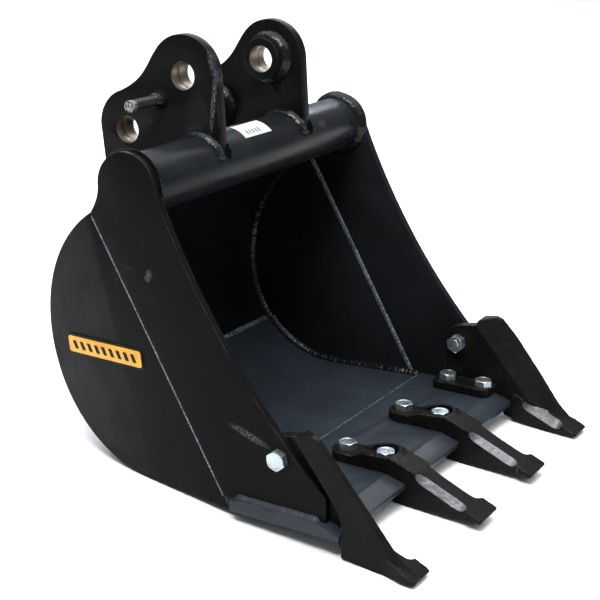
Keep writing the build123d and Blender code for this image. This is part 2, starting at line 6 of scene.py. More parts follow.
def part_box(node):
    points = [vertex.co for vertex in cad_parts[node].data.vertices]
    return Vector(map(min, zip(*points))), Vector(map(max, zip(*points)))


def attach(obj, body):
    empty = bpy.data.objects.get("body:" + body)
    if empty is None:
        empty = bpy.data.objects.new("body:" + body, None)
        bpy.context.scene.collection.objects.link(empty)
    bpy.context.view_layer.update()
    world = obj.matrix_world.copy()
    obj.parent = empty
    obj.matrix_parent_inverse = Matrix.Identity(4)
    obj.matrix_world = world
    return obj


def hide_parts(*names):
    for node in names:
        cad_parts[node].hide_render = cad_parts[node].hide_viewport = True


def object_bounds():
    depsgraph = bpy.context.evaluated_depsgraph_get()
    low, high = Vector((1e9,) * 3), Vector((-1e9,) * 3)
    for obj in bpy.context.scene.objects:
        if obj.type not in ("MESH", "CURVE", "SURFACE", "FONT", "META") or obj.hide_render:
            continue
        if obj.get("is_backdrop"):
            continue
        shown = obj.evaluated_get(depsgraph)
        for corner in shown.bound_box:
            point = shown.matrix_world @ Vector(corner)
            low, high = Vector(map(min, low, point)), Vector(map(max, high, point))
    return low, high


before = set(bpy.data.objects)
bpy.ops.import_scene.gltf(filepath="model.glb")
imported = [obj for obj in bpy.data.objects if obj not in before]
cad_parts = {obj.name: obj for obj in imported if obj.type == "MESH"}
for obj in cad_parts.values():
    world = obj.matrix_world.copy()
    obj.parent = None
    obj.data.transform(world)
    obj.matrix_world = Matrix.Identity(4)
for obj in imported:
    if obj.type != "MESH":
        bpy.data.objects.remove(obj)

cadLow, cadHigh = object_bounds()
scene = bpy.context.scene
print("frame loaded", len(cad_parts), "nodes")

# the bucket's own plane: u rearwards, v up, leaning by tilt; lengths in millimetres
bucket = {
    "tilt": 3.9,
    "pin": (8.7, -2.5),
    "link": (81.4, -63.5),
    "bore": 14.0,
    "halfWidth": 200.0,
    "innerFace": 192.0,
    "taper": 8.0,
    "neck": (36.8, -121.0),
    "foldFoot": (-121.5, -394.0),
    "tube": (-8.5, -91.5),
    "tubeRadius": 30.15,
    "heel": (-18.0, -265.0),
    "back": (-44.31, -255.42),
    "earFaces": (72.0, 84.0),
    "lipRear": -126.0,
    "lipTop": -380.0,
    "lipBottom": -392.0,
    "floorTop": -383.0,
    "studBase": (38.8, -28.9),
}
tiltCos = math.cos(math.radians(bucket["tilt"]))
tiltSin = math.sin(math.radians(bucket["tilt"]))


def lean(u, v):
    return Vector((0, u * tiltCos + v * tiltSin, v * tiltCos - u * tiltSin))


def place(x, u, v):
    point = lean(u - bucket["pin"][0], v - bucket["pin"][1])
    point.x = x
    return point / 1000


def onArc(centre, radius, sweep):
    turn = math.radians(sweep)
    return centre[0] + radius * math.sin(turn), centre[1] - radius * math.cos(turn)


foldRun = Vector(bucket["foldFoot"]) - Vector(bucket["neck"])
foldLength = foldRun.length
foldAlong = foldRun / foldLength
foldOut = Vector((-foldAlong.y, foldAlong.x))


def innerX(u, v):
    # the side plates' inner face, which leans in behind the fold
    behind = max(0.0, (Vector((u, v)) - Vector(bucket["neck"])).dot(foldOut))
    return bucket["innerFace"] - behind * math.tan(math.radians(bucket["taper"]))


# small working helpers
def clearSelection():
    if bpy.context.object and bpy.context.object.mode != "OBJECT":
        bpy.ops.object.mode_set(mode="OBJECT")
    bpy.ops.object.select_all(action="DESELECT")


def makeActive(piece):
    clearSelection()
    piece.select_set(True)
    bpy.context.view_layer.objects.active = piece


def applyModifier(piece, kind, **values):
    makeActive(piece)
    modifier = piece.modifiers.new(kind.title(), kind)
    for key, value in values.items():
        setattr(modifier, key, value)
    bpy.ops.object.modifier_apply(modifier=modifier.name)


def breakEdges(piece, width, segments=2):
    applyModifier(
        piece,
        "BEVEL",
        width=width / 1000,
        segments=segments,
        limit_method="ANGLE",
        angle_limit=math.radians(38),
        use_clamp_overlap=False,
    )


def copyNode(node, name):
    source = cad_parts[node]
    piece = bpy.data.objects.new(name, source.data.copy())
    piece.data.name = name
    piece.data.materials.clear()
    scene.collection.objects.link(piece)
    makeActive(piece)
    bpy.ops.mesh.customdata_custom_splitnormals_clear()
    bpy.ops.object.mode_set(mode="EDIT")
    bpy.ops.mesh.select_all(action="SELECT")
    bpy.ops.mesh.remove_doubles(threshold=0.00001)
    bpy.ops.mesh.dissolve_limited(angle_limit=math.radians(0.6))
    bpy.ops.mesh.normals_make_consistent(inside=False)
    bpy.ops.object.mode_set(mode="OBJECT")
    return piece


def settle(piece, slotName, materials, *nodes, angle=32):
    piece.data.materials.clear()
    for material in materials:
        piece.data.materials.append(material)
    makeActive(piece)
    bpy.ops.object.shade_smooth_by_angle(angle=math.radians(angle))
    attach(piece, "root")
    if nodes:
        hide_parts(*nodes)


def gridShape(name, columns, rows, shaper):
    clearSelection()
    bpy.ops.mesh.primitive_grid_add(x_subdivisions=columns, y_subdivisions=rows, size=2)
    piece = bpy.context.object
    piece.name = name
    piece.data.name = name
    for vertex in piece.data.vertices:
        vertex.co = shaper((vertex.co.x + 1) / 2, (vertex.co.y + 1) / 2)
    bpy.ops.object.mode_set(mode="EDIT")
    bpy.ops.mesh.select_all(action="SELECT")
    bpy.ops.mesh.remove_doubles(threshold=0.000004)
    bpy.ops.mesh.dissolve_degenerate(threshold=0.000001)
    bpy.ops.mesh.normals_make_consistent(inside=False)
    bpy.ops.object.mode_set(mode="OBJECT")
    return piece


def joinAll(parts, name):
    clearSelection()
    for part in parts:
        part.select_set(True)
    bpy.context.view_layer.objects.active = parts[0]
    bpy.ops.object.join()
    piece = bpy.context.object
    piece.name = name
    piece.data.name = name
    return piece


# materials
def tint(red, green, blue):
    # screen values 0 to 255 into the shader's linear colour
    def toLinear(value):
        value = value / 255
        return value / 12.92 if value < 0.04045 else ((value + 0.055) / 1.055) ** 2.4

    return toLinear(red), toLinear(green), toLinear(blue), 1.0


class Graph:
    def __init__(self, name):
        self.material = bpy.data.materials.new(name)
        self.material.use_nodes = True
        self.tree = self.material.node_tree
        self.shader = self.tree.nodes["Principled BSDF"]
        self.place = self.tree.nodes.new("ShaderNodeTexCoord").outputs["Object"]

    def add(self, kind, inputs=None, **settings):
        node = self.tree.nodes.new(kind)
        for key, value in settings.items():
            setattr(node, key, value)
        for key, value in (inputs or {}).items():
            if isinstance(value, bpy.types.NodeSocket):
                self.tree.links.new(value, node.inputs[key])
            else:
                node.inputs[key].default_value = value
        return node

    def noise(self, scale, detail=3.0, rough=0.55, place=None):
        values = {
            "Vector": place or self.place,
            "Scale": scale,
            "Detail": detail,
            "Roughness": rough,
        }
        return self.add("ShaderNodeTexNoise", values).outputs["Fac"]

    def stretch(self, scale, turn=(0, 0, 0)):
        values = {"Vector": self.place, "Scale": scale, "Rotation": turn}
        return self.add("ShaderNodeMapping", values).outputs["Vector"]

    def span(self, value, low, high, outLow=0.0, outHigh=1.0):
        values = {
            "Value": value,
            "From Min": low,
            "From Max": high,
            "To Min": outLow,
            "To Max": outHigh,
        }
        return self.add("ShaderNodeMapRange", values, interpolation_type="SMOOTHSTEP").outputs[0]

    def maths(self, operation, first, second):
        node = self.add("ShaderNodeMath", {0: first, 1: second}, operation=operation)
        return node.outputs[0]

    def blend(self, factor, first, second):
        node = self.tree.nodes.new("ShaderNodeMix")
        node.data_type = "RGBA"
        for index, value in ((0, factor), (6, first), (7, second)):
            if isinstance(value, bpy.types.NodeSocket):
                self.tree.links.new(value, node.inputs[index])
            else:
                node.inputs[index].default_value = value
        return node.outputs[2]

    def bump(self, height, distance, under=None):
        values = {"Height": height, "Distance": distance, "Strength": 1.0}
        if under:
            values["Normal"] = under
        return self.add("ShaderNodeBump", values).outputs["Normal"]

    def edges(self, radius, low, high):
        # nought on flat faces, one where a rounded normal turns away at an edge
        soft = self.add("ShaderNodeBevel", {"Radius": radius}, samples=6).outputs[0]
        flat = self.add("ShaderNodeNewGeometry").outputs["Normal"]
        same = self.add("ShaderNodeVectorMath", {0: soft, 1: flat}, operation="DOT_PRODUCT")
        away = self.maths("SUBTRACT", 1.0, same.outputs["Value"])
        return self.span(away, low, high)

    def near(self, centre, size, turn=(0, 0, 0)):
        # one inside a stretched ball about a place on the object, nought outside it
        values = {"Vector": self.place, "Location": centre, "Rotation": turn, "Scale": size}
        inside = self.add("ShaderNodeMapping", values, vector_type="TEXTURE").outputs[0]
        reach = self.add("ShaderNodeVectorMath", {0: inside}, operation="LENGTH").outputs["Value"]
        return self.span(reach, 1.0, 0.35)

    def finish(self, colour, roughness, normal, **fixed):
        self.tree.links.new(colour, self.shader.inputs["Base Color"])
        self.tree.links.new(roughness, self.shader.inputs["Roughness"])
        self.tree.links.new(normal, self.shader.inputs["Normal"])
        for key, value in fixed.items():
            self.shader.inputs[key].default_value = value
        return self.material


def coatedFinish(name, look):
    graph = Graph(name)
    patches = graph.noise(look["patchScale"], 4.0, 0.6)
    colour = graph.blend(graph.span(patches, 0.36, 0.66), look["base"], look["patch"])
    fine = graph.noise(look["grainScale"], 4.0, 0.65)
    # fine flecks of the dust colour: real dust on most finishes, painted glints where the finish is
    # itself a painted highlight, as on the seam paint
    colour = graph.blend(graph.span(fine, 0.45, 0.8, 0.0, look["speckle"]), colour, look["dustAndGlints"])
    # lighter edges, partly rubbed paint and partly a painted edge highlight, broken up so that they
    # come and go
    wearAndSheenMarks = graph.edges(look["edgeWidth"], 0.01, 0.16)
    broken = graph.span(graph.noise(look["edgeBreak"], 5.0, 0.7), 0.40, 0.62)
    edgeWearAndSheenMix = graph.maths("MULTIPLY", graph.maths("MULTIPLY", wearAndSheenMarks, broken), look["edgeWearAndSheen"])
    colour = graph.blend(edgeWearAndSheenMix, colour, look["edge"])
    # hair scratches in two directions, only inside scattered patches
    lines = graph.noise(1.0, 2.0, 0.5, graph.stretch((900, 26, 60), (0.5, 0.2, 0.4)))
    others = graph.noise(1.0, 2.0, 0.5, graph.stretch((40, 1000, 30), (0.9, 0.3, -0.3)))
    where = graph.span(graph.noise(look["scuffScale"], 3.0, 0.6), 0.56, 0.72)
    hair = graph.maths("MAXIMUM", graph.span(lines, 0.66, 0.76), graph.span(others, 0.68, 0.78))
    scuffs = graph.maths("MULTIPLY", graph.maths("MULTIPLY", hair, where), look["scuff"])
    colour = graph.blend(scuffs, colour, look["edge"])
    # rubbed places, each a stretched ball filled with broken marks
    for centre, size, turn, strength in look.get("rubs", ()):
        marks = graph.noise(1.0, 8.0, 0.8, graph.stretch((500, 900, 260), turn))
        marks = graph.span(marks, 0.47, 0.6)
        rub = graph.maths("MULTIPLY", graph.near(centre, size, turn), marks)
        colour = graph.blend(graph.maths("MULTIPLY", rub, strength), colour, look["rubColour"])
    sheen = graph.noise(look["patchScale"] * 3.1, 4.0, 0.6)
    roughness = graph.span(sheen, 0.3, 0.7, look["roughLow"], look["roughHigh"])
    peel = graph.noise(look["peelScale"], 2.0, 0.5)
    normal = graph.bump(peel, look["peelDepth"])
    normal = graph.bump(fine, look["grainDepth"], normal)
    fixed = {"Metallic": look.get("metal", 0.0), "Specular IOR Level": look["specular"]}
    fixed["Coat Weight"] = look.get("coat", 0.0)
    fixed["Coat Roughness"] = look.get("coatRough", 0.2)
    return graph.finish(colour, roughness, normal, **fixed)


plateLook = {
    "base": tint(10, 10, 11),
    "patch": tint(15, 15, 16),
    "dustAndGlints": tint(38, 38, 40),
    "edge": tint(104, 105, 110),
    "rubColour": tint(150, 150, 156),
    "patchScale": 7.0,
    "grainScale": 900.0,
    "speckle": 0.25,
    "edgeWidth": 0.0012,
    "edgeBreak": 55.0,
    "edgeWearAndSheen": 0.55,
    "scuffScale": 9.0,
    "scuff": 0.25,
    "roughLow": 0.36,
    "roughHigh": 0.5,
    "peelScale": 240.0,
    "peelDepth": 0.00016,
    "grainDepth": 0.00004,
    "specular": 0.06,
}
scuffedLook = dict(
    plateLook,
    rubs=(
        # the left ear's front edge, then the left side plate's front edge and its lower corner
        ((-0.084, -0.0385, -0.020), (0.02, 0.0036, 0.044), (0.05, 0, 0), 0.55),
        ((-0.084, -0.0345, 0.016), (0.02, 0.0040, 0.018), (-0.35, 0, 0), 0.45),
        ((-0.084, -0.0200, -0.060), (0.02, 0.0200, 0.020), (0.2, 0, 0), 0.2),
        ((-0.200, -0.0520, -0.168), (0.004, 0.0050, 0.009), (0.3, 0, 0), 0.5),
        ((-0.200, -0.1750, -0.298), (0.004, 0.0300, 0.005), (0.25, 0, 0), 0.5),
        ((-0.200, -0.1400, -0.372), (0.004, 0.0700, 0.005), (0.05, 0, 0), 0.35),
    ),
)
# tube paint: a paler bluish copy of the black paint, its blotches painted highlights, with real
# scratches and a real scuff
tubeSheenLook = dict(
    plateLook,
    base=tint(18, 20, 22),
    patch=tint(27, 30, 33),
    dustAndGlints=tint(60, 64, 70),
    scuff=0.5,
    roughLow=0.24,
    roughHigh=0.36,
    specular=0.12,
    rubs=(((0.112, -0.046, -0.078), (0.016, 0.006, 0.012), (0, 0, 0), 0.35),),
)
# far paint: a lighter bluish copy of the black plate paint, a painted reflection on the far plates
farLitLook = dict(plateLook, base=tint(19, 21, 23), patch=tint(26, 28, 31))
wrapperLook = dict(
    plateLook,
    base=tint(9, 10, 11),
    patch=tint(15, 16, 18),
    dustAndGlints=tint(50, 55, 62),
    roughLow=0.3,
    roughHigh=0.42,
    specular=0.16,
)
# shell paint: a paler bluish copy of the black paint, a painted reflection of the light caught by the
# floor plate, cutting edge and ledge beads
shellSheenLook = dict(
    plateLook,
    base=tint(33, 38, 44),
    patch=tint(42, 48, 56),
    dustAndGlints=tint(74, 81, 92),
    scuff=0.45,
    roughLow=0.34,
    roughHigh=0.48,
    specular=0.22,
)
weldLook = dict(
    plateLook,
    base=tint(11, 11, 12),
    patch=tint(17, 18, 20),
    dustAndGlints=tint(58, 60, 66),
    grainScale=260.0,
    speckle=0.2,
    edgeWearAndSheen=0.05,
    scuff=0.1,
    roughLow=0.12,
    roughHigh=0.3,
    peelScale=260.0,
    peelDepth=0.0006,
    specular=0.15,
    coat=0.12,
    coatRough=0.06,
)
# seam paint: a pale bluish tone with bright flecks, a painted highlight with painted glints along the
# fold lines and seams
seamGlintLook = dict(
    plateLook,
    base=tint(44, 48, 54),
    patch=tint(84, 90, 98),
    dustAndGlints=tint(190, 196, 204),
    patchScale=60.0,
    grainScale=420.0,
    speckle=0.7,
    roughLow=0.2,
    roughHigh=0.4,
    specular=0.4,
)
castLook = dict(
    plateLook,
    base=tint(11, 10, 10),
    patch=tint(18, 17, 16),
    dustAndGlints=tint(58, 54, 52),
    edge=tint(120, 118, 120),
    patchScale=22.0,
    grainScale=900.0,
    speckle=0.4,
    edgeWidth=0.0014,
    edgeWearAndSheen=0.6,
    scuff=0.3,
    roughLow=0.34,
    roughHigh=0.46,
    peelScale=420.0,
    peelDepth=0.0003,
    grainDepth=0.0001,
    specular=0.07,
)
# chamfer paint: a pale copy of the cast finish, a painted highlight on the up-facing chamfer faces
# where they catch the light
chamferSheenLook = dict(
    castLook,
    base=tint(62, 63, 69),
    patch=tint(92, 93, 101),
    dustAndGlints=tint(128, 128, 134),
    roughLow=0.2,
    roughHigh=0.32,
    peelDepth=0.0001,
    grainDepth=0.00004,
    specular=0.3,
)
# a darker painted chamfer highlight for the corner teeth
cornerSheenLook = dict(chamferSheenLook, base=tint(36, 36, 39), patch=tint(56, 56, 61), dustAndGlints=tint(90, 90, 95))
zincLook = dict(
    plateLook,
    base=tint(168, 180, 188),
    patch=tint(196, 204, 208),
    dustAndGlints=tint(214, 216, 210),
    edge=tint(232, 236, 240),
    patchScale=45.0,
    grainScale=1300.0,
    speckle=0.12,
    edgeWidth=0.0006,
    edgeWearAndSheen=0.6,
    scuff=0.12,
    roughLow=0.22,
    roughHigh=0.4,
    peelScale=900.0,
    peelDepth=0.00006,
    grainDepth=0.00003,
    specular=0.5,
    metal=0.92,
)
boreLook = dict(
    zincLook,
    base=tint(120, 112, 102),
    patch=tint(150, 140, 126),
    dustAndGlints=tint(96, 74, 56),
    edge=tint(190, 184, 174),
    speckle=0.7,
    roughLow=0.34,
    roughHigh=0.5,
    metal=0.8,
)
studLook = dict(
    zincLook,
    base=tint(20, 20, 21),
    patch=tint(34, 34, 36),
    dustAndGlints=tint(30, 30, 30),
    edge=tint(200, 200, 202),
    patchScale=70.0,
    edgeWearAndSheen=0.1,
    speckle=0.1,
    scuff=0.2,
    roughLow=0.3,
    roughHigh=0.5,
    metal=0.1,
    specular=0.2,
    rubColour=tint(206, 206, 208),
    rubs=(((-0.131, 0.03, -0.028), (0.007, 0.02, 0.02), (0, 0, 0), 0.95),),
)
backingLook = dict(
    plateLook, base=tint(20, 20, 21), patch=tint(27, 27, 28), roughLow=0.3, roughHigh=0.45
)

platePaint = coatedFinish("platePaint", plateLook)
scuffedPaint = coatedFinish("scuffedPaint", scuffedLook)
tubeSheenPaint = coatedFinish("tubeSheenPaint", tubeSheenLook)
wrapperPaint = coatedFinish("wrapperPaint", wrapperLook)
seamGlintPaint = coatedFinish("seamGlintPaint", seamGlintLook)
farLitPaint = coatedFinish("farLitPaint", farLitLook)
shellSheenPaint = coatedFinish("shellSheenPaint", shellSheenLook)
weldPaint = coatedFinish("weldPaint", weldLook)
castBlack = coatedFinish("castBlack", castLook)
zincPlate = coatedFinish("zincPlate", zincLook)
boreSteel = coatedFinish("boreSteel", boreLook)
studSteel = coatedFinish("studSteel", studLook)
badgeBlack = coatedFinish("badgeBlack", backingLook)
chamferSheenCast = coatedFinish("chamferSheenCast", chamferSheenLook)
cornerSheenCast = coatedFinish("cornerSheenCast", cornerSheenLook)
print("paints and metals made")

# plates, shell and ears: the frame's own shapes with broken edges
plates = {
    "left_side_plate": ("leftSidePlate", 0.7, scuffedPaint, "plate_paint"),
    # the far plates take the lighter far paint, a painted reflection
    "right_side_plate": ("rightSidePlate", 0.7, farLitPaint, "plate_paint"),
    "left_rear_plate": ("leftRearPlate", 0.5, platePaint, "plate_paint"),
    "right_rear_plate": ("rightRearPlate", 0.5, farLitPaint, "plate_paint"),
    "back_wrapper": ("backWrapper", 0.5, wrapperPaint, "shell_paint"),
    # the floor plate and cutting edge take the paler shell paint, a painted reflection
    "floor_plate": ("floorPlate", 0.5, shellSheenPaint, "shell_paint"),
    "cutting_edge": ("cuttingEdge", 0.8, shellSheenPaint, "shell_paint"),
    # the torsion tube takes the tube paint with its painted highlights
    "torsion_tube": ("torsionTube", 0.5, tubeSheenPaint, "plate_paint"),
}
for node, (name, rounding, material, slotName) in plates.items():
    piece = copyNode(node, name)
    breakEdges(piece, rounding)
    settle(piece, slotName, [material], node)
print("plates and shell refined")

earLook = {"rounding": 0.9, "boreReach": 0.6}
for side in ("left", "right"):
    for node, name in (
        (f"{side}_ear", f"{side}Ear"),
        (f"{side}_stick_boss", f"{side}StickBoss"),
        (f"{side}_link_boss", f"{side}LinkBoss"),
    ):
        piece = copyNode(node, name)
        breakEdges(piece, earLook["rounding"])
        paint = scuffedPaint if node == "left_ear" else platePaint
        settle(piece, "plate_paint", [paint, boreSteel], node)
        # the bores are bare machined steel
        for face in piece.data.polygons:
            for centre in (bucket["pin"], bucket["link"]):
                away = face.center - place(face.center.x * 1000, *centre)
                reach = (bucket["bore"] + earLook["boreReach"]) / 1000
                if away.length < reach and abs(face.normal.x) < 0.8:
                    face.material_index = 1
print("ears and bosses refined")

# weld beads, swept along named paths with overlapping ripples
beadLook = {"pitch": 3.0, "ripple": 0.010, "wander": 0.08, "step": 0.6, "dig": 0.5, "bulge": 1.45}


# each weld's two legs, and its ripple pitch where it differs
welds = {
    "tubeEnd": {"legs": (7.0, 8.0), "pitch": 4.2},
    "earTube": {"legs": (6.2, 6.8), "pitch": 3.8},
    "earWrapper": {"legs": (5.4, 5.4)},
    "bossRing": {"legs": (7.2, 8.0), "pitch": 4.8},
    "studCollar": {"legs": (5.2, 11.5), "pitch": 6.0},
    "foldBead": {"legs": (3.0, 1.5), "kind": "cap"},
    "foldLine": {"legs": (0.9, 0.35), "kind": "cap", "pitch": 9.0},
    "cornerBead": {"legs": (6.0, 6.0), "pitch": 5.0},
    "ledgeBead": {"legs": (6.0, 5.0)},
    "floorSeam": {"legs": (3.4, 2.2), "kind": "cap"},
    "lipSeam": {"legs": (5.0, 3.2)},
    "tubeSeam": {"legs": (5.0, 5.0), "kind": "rod"},
}
# where the part welds start and how far they run, in degrees or millimetres
weldReach = {
    "earTube": (-30, 196),
    "earWrapper": (28, 38),
    "wrapperSeat": 154.0,
    "bossRadius": 22.5,
    "studRadius": 5.8,
    "foldStart": 12,
    "foldStop": 14,
    "foldOuterStart": 3,
    "ledge": (-128, -224),
}


def beadSection(kind, turn, legs):
    dig = beadLook["dig"]
    if kind == "rod":
        angle = math.radians(360 * turn)
        return legs[0] * math.cos(angle), legs[1] * math.sin(angle)
    if turn < 0.8:
        if kind == "cap":
            angle = math.radians(180 * turn / 0.8)
            return legs[0] * math.cos(angle), legs[1] * math.sin(angle)
        angle = math.radians(90 * turn / 0.8)
        bulge = beadLook["bulge"]
        return legs[0] * math.cos(angle) ** bulge, legs[1] * math.sin(angle) ** bulge
    across = (turn - 0.8) / 0.2
    if kind == "cap":
        return legs[0] * (2 * across - 1), -dig * min(across, 1 - across) * 2
    if across < 0.5:
        return -dig * across * 2, legs[1] * (1 - 2 * across) - dig * across * 2
    return legs[0] * (2 * across - 1) - dig * (2 - 2 * across), -dig * (2 - 2 * across)


def weldBead(name, path, length, closed=False):
    # path(s) gives a root point and the directions of the two legs
    legs = welds[name]["legs"]
    kind = welds[name].get("kind", "fillet")
    ripples = max(1, round(length / welds[name].get("pitch", beadLook["pitch"])))
    columns = max(8, round(length / beadLook["step"]))

    def shaper(s, t):
        root, first, second = path(s)
        face = min(t / 0.8, 1.0) if kind != "rod" else t
        phase = s * ripples - 0.55 * (2 * face - 1) ** 2
        crest = abs(math.sin(math.pi * phase)) - 0.6
        wander = noise.noise(root * 95) + 0.6 * noise.noise(root * 310)
        swell = 1 + beadLook["ripple"] * crest + beadLook["wander"] * wander
        if not closed:
            fromEnd = min(s, 1 - s) * length / max(legs)
            swell *= math.sqrt(min(1.0, fromEnd * 1.2))
        a, b = beadSection(kind, t, legs)
        return root + (first * a + second * b) * swell / 1000

    return gridShape(name, columns, 12, shaper)


def ringPath(x, centre, radius, facing, start=0.0, arc=360.0):
    def path(s):
        turn = math.radians(start + arc * s)
        outward = lean(math.cos(turn), math.sin(turn))
        point = place(x, centre[0] + radius * math.cos(turn), centre[1] + radius * math.sin(turn))
        return point, outward, Vector((facing, 0, 0))

    return path, 2 * math.pi * radius * arc / 360


def linePath(x, start, end, first, second):
    def path(s):
        u = start[0] + (end[0] - start[0]) * s
        v = start[1] + (end[1] - start[1]) * s
        return place(x, u, v), first, second

    return path, (Vector(end) - Vector(start)).length


def crossPath(u, v, reach, first, second):
    def path(s):
        return place(reach * (2 * s - 1), u, v), first, second

    return path, 2 * reach


def settleWeld(beads, name, *nodes, material=weldPaint):
    settle(joinAll(beads, name), "painted_weld", [material], *nodes, angle=60)


tubeEnds = []
for side in (-1, 1):
    path, length = ringPath(side * bucket["innerFace"], bucket["tube"], bucket["tubeRadius"], -side)
    tubeEnds.append(weldBead("tubeEnd", path, length, closed=True))
settleWeld(tubeEnds, "tubeEndBeads", "tube_end_welds")

earTube = []
earWrapper = []
for side in (-1, 1):
    for x, facing in ((side * bucket["earFaces"][0], -side), (side * bucket["earFaces"][1], side)):
        path, length = ringPath(x, bucket["tube"], bucket["tubeRadius"], facing, *weldReach["earTube"])
        earTube.append(weldBead("earTube", path, length))
        seatRadius = weldReach["wrapperSeat"]
        path, length = ringPath(x, bucket["back"], seatRadius, facing, *weldReach["earWrapper"])
        earWrapper.append(weldBead("earWrapper", path, length))
settleWeld(earTube, "earTubeBeads", "ear_tube_welds")
settleWeld(earWrapper, "earWrapperBeads", "ear_wrapper_welds")

bossRings = []
for side in (-1, 1):
    for centre in (bucket["pin"], bucket["link"]):
        path, length = ringPath(side * bucket["earFaces"][0], centre, weldReach["bossRadius"], -side)
        bossRings.append(weldBead("bossRing", path, length, closed=True))
settleWeld(bossRings, "bossBeads", "boss_welds")

path, length = ringPath(-bucket["earFaces"][1], bucket["studBase"], weldReach["studRadius"], -1)
studCollar = weldBead("studCollar", path, length, closed=True)
settle(studCollar, "painted_weld", [weldPaint], "stud_weld", angle=60)

foldBeads = []
foldLines = []
foldStart = Vector(bucket["neck"]) + foldAlong * weldReach["foldStart"]
foldEnd = Vector(bucket["neck"]) + foldAlong * (foldLength - weldReach["foldStop"])
for side in (-1, 1):
    inward = Vector((-side, 0, 0))
    path, length = linePath(side * bucket["innerFace"], foldStart, foldEnd, lean(*foldOut), inward)
    foldBeads.append(weldBead("foldBead", path, length))
    outerStart = Vector(bucket["neck"]) + foldAlong * weldReach["foldOuterStart"]
    path, length = linePath(side * bucket["halfWidth"], outerStart, foldEnd, lean(*foldOut), -inward)
    foldLines.append(weldBead("foldLine", path, length))
# the fold beads and fold lines take the seam paint, its pale tone and flecks a painted highlight and
# painted glints
settleWeld(foldBeads, "foldBeads", "fold_welds", material=seamGlintPaint)
settleWeld(foldLines, "foldSeams", material=seamGlintPaint)


# the inside corner: a flat run, then arcs as centre, radius, first sweep and how far it turns
cornerFlat = 108.0
cornerArcs = (("heel", 118.0, 0, 51), ("heel", 120.0, 51, 19), ("back", 148.0, 70, 79))


def cornerPath(side):
    # along the floor, round the heel and up the back, in the corner with the side plate
    total = cornerFlat + sum(radius * math.radians(turn) for _, radius, _, turn in cornerArcs)

    def path(s):
        run = s * total
        u, v = bucket["lipRear"] + run, bucket["floorTop"]
        away = lean(0, 1)
        run -= cornerFlat
        for centre, radius, first, turn in cornerArcs:
            if run >= 0:
                sweep = first + math.degrees(run / radius)
                u, v = onArc(bucket[centre], radius, sweep)
                away = lean(-math.sin(math.radians(sweep)), math.cos(math.radians(sweep)))
            run -= radius * math.radians(turn)
        return place(side * innerX(u, v), u, v), away, Vector((-side, 0, 0))

    return path, total


cornerBeads = []
for side in (-1, 1):
    path, length = cornerPath(side)
    cornerBeads.append(weldBead("cornerBead", path, length))
settleWeld(cornerBeads, "insideCornerBeads", "inside_corner_welds")

ledgeBeads = []
for side in (-1, 1):
    start, end = ((u, bucket["lipTop"]) for u in weldReach["ledge"])
    outward = Vector((side, 0, 0))
    path, length = linePath(side * bucket["halfWidth"], start, end, outward, lean(0, 1))
    ledgeBeads.append(weldBead("ledgeBead", path, length))
# the ledge beads take the shell paint, its pale bluish tone a painted reflection
settleWeld(ledgeBeads, "ledgeBeads", "ledge_welds", material=shellSheenPaint)

floorEnd = {"radius": 120.0, "sweep": 52.0}
seam = onArc(bucket["heel"], floorEnd["radius"], floorEnd["sweep"])
seamTurn = math.radians(floorEnd["sweep"])
seamAlong = lean(math.cos(seamTurn), math.sin(seamTurn))
seamAway = lean(-math.sin(seamTurn), math.cos(seamTurn))
seams = []
path, length = crossPath(*seam, innerX(*seam) - 5, seamAlong, seamAway)
seams.append(weldBead("floorSeam", path, length))
path, length = crossPath(
    bucket["lipRear"], bucket["floorTop"], bucket["innerFace"] - 5, lean(1, 0), lean(0, 1)
)
seams.append(weldBead("lipSeam", path, length))
tubeMeet = {"inside": (7.76, -116.89), "outside": (13.11, -112.53)}
for u, v in tubeMeet.values():
    path, length = crossPath(u, v, bucket["innerFace"] - 6, lean(1, 0), lean(0, 1))
    seams.append(weldBead("tubeSeam", path, length))
# the cross seams take the seam paint with its painted highlight and painted glints
settleWeld(seams, "crossSeams", "cross_welds", material=seamGlintPaint)
print("weld beads swept")

# cast teeth: the frame's tooth, remeshed and softened as a sand casting
toothLook = {
    "voxel": 1.0,
    "softening": 2,
    "chamfer": {"centre": 7.5, "corner": 9.0},
    "rimRise": 3.2,
    "rimRadius": 14.0,
    "lump": 0.16,
    "rimWidth": 4.5,
    "rimFloor": -367.5,
    "frontBolt": (61.0, -216.0),
    "flankFace": 204.5,
    "noseStart": -288.0,
    "noseRun": 30.0,
    "tipRound": 5.0,
    "tipFaces": {"centre": (42.0, 80.0), "corner": (178.0, 210.0)},
}
# the top edge that each tooth's long side chamfer follows, and the tooth's two faces
toothEdges = {
    "centre": ((-258.0, -371.5), (-314.0, -395.5), 45.0, 77.0),
    "corner": ((-262.0, -381.2), (-311.0, -401.7), 178.0, 210.0),
}


def toBucket(point):
    # back from the row frame to x, u, v in millimetres
    y, z = point.y * 1000, point.z * 1000
    u = y * tiltCos - z * tiltSin + bucket["pin"][0]
    v = z * tiltCos + y * tiltSin + bucket["pin"][1]
    return point.x * 1000, u, v
